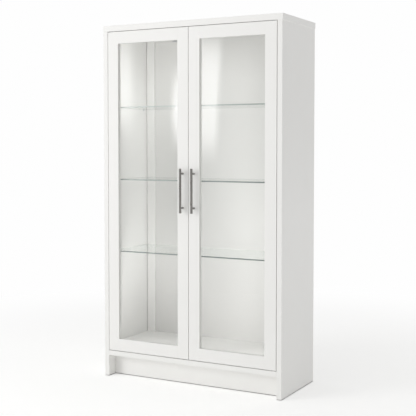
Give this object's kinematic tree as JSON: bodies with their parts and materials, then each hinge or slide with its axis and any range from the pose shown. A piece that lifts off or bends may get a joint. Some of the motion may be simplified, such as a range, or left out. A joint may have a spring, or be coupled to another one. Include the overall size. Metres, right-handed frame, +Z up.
{
  "type": "curio cabinet",
  "caption": "Free-standing display cabinet with glazed pivot doors, bar handles, glass shelves and a recessed plinth.",
  "frame": {"origin": "on the floor, at the middle of the overall footprint with the handles included", "axes": "+Z up, -Y towards the front where the doors open, +X to the right seen from the front"},
  "size_m": [1, 0.432, 1.8],
  "materials": {
    "white_board": "satin white lacquer on board",
    "raw_wood": "turned beech, unfinished",
    "door_glass": "clear float glass",
    "shelf_glass": "clear toughened glass with polished green edges",
    "handle_steel": "brushed along the bar",
    "zinc_steel": "bright zinc plate",
    "white_zinc": "white enamel on die-cast zinc",
    "white_plastic": "moulded",
    "grey_plastic": "moulded",
    "clear_pad": "clear soft pad"
  },
  "bodies": {
    "carcass": {"left_side_panel": "white_board", "right_side_panel": "white_board", "top_panel": "white_board", "bottom_panel": "white_board", "front_plinth": "white_board", "rear_plinth": "white_board", "back_panel": "white_board", "left_corner_batten": "white_board", "right_corner_batten": "white_board", "floor_board": "white_board", "floor_battens": "white_board", "lower_shelf": "shelf_glass", "middle_shelf": "shelf_glass", "upper_shelf": "shelf_glass", "shelf_pins": "zinc_steel", "shelf_pads": "clear_pad", "glides": "grey_plastic", "cam_bolts": "zinc_steel", "cam_discs": "white_zinc", "carcass_dowels": "raw_wood", "back_panel_screws": "zinc_steel", "wall_brackets": "zinc_steel", "wall_bracket_screws": "zinc_steel", "catch_housings": "white_plastic", "catch_magnets": "grey_plastic", "catch_screws": "zinc_steel", "lower_pivot_pins": "zinc_steel", "upper_pivot_pins": "zinc_steel"},
    "left_door": {"left_hinge_stile": "white_board", "left_meeting_stile": "white_board", "left_top_rail": "white_board", "left_bottom_rail": "white_board", "left_glass_pane": "door_glass", "left_hinge_bead": "white_board", "left_meeting_bead": "white_board", "left_top_bead": "white_board", "left_bottom_bead": "white_board", "left_door_dowels": "raw_wood", "left_pivot_bushes": "white_plastic", "left_handle_bar": "handle_steel", "left_handle_posts": "handle_steel", "left_handle_screws": "zinc_steel", "left_strike_plate": "zinc_steel", "left_strike_screw": "zinc_steel"},
    "right_door": {"right_hinge_stile": "white_board", "right_meeting_stile": "white_board", "right_top_rail": "white_board", "right_bottom_rail": "white_board", "right_glass_pane": "door_glass", "right_hinge_bead": "white_board", "right_meeting_bead": "white_board", "right_top_bead": "white_board", "right_bottom_bead": "white_board", "right_door_dowels": "raw_wood", "right_pivot_bushes": "white_plastic", "right_handle_bar": "handle_steel", "right_handle_posts": "handle_steel", "right_handle_screws": "zinc_steel", "right_strike_plate": "zinc_steel", "right_strike_screw": "zinc_steel"}
  },
  "joints": [
    {"name": "left_door_swing", "type": "hinge", "parent": "carcass", "child": "left_door", "pos_m": [-0.446, -0.173, 0.137], "axis": [0, 0, -1], "range_deg": [0, 105]},
    {"name": "right_door_swing", "type": "hinge", "parent": "carcass", "child": "right_door", "pos_m": [0.446, -0.173, 0.137], "axis": [0, 0, 1], "range_deg": [0, 105]}
  ]
}
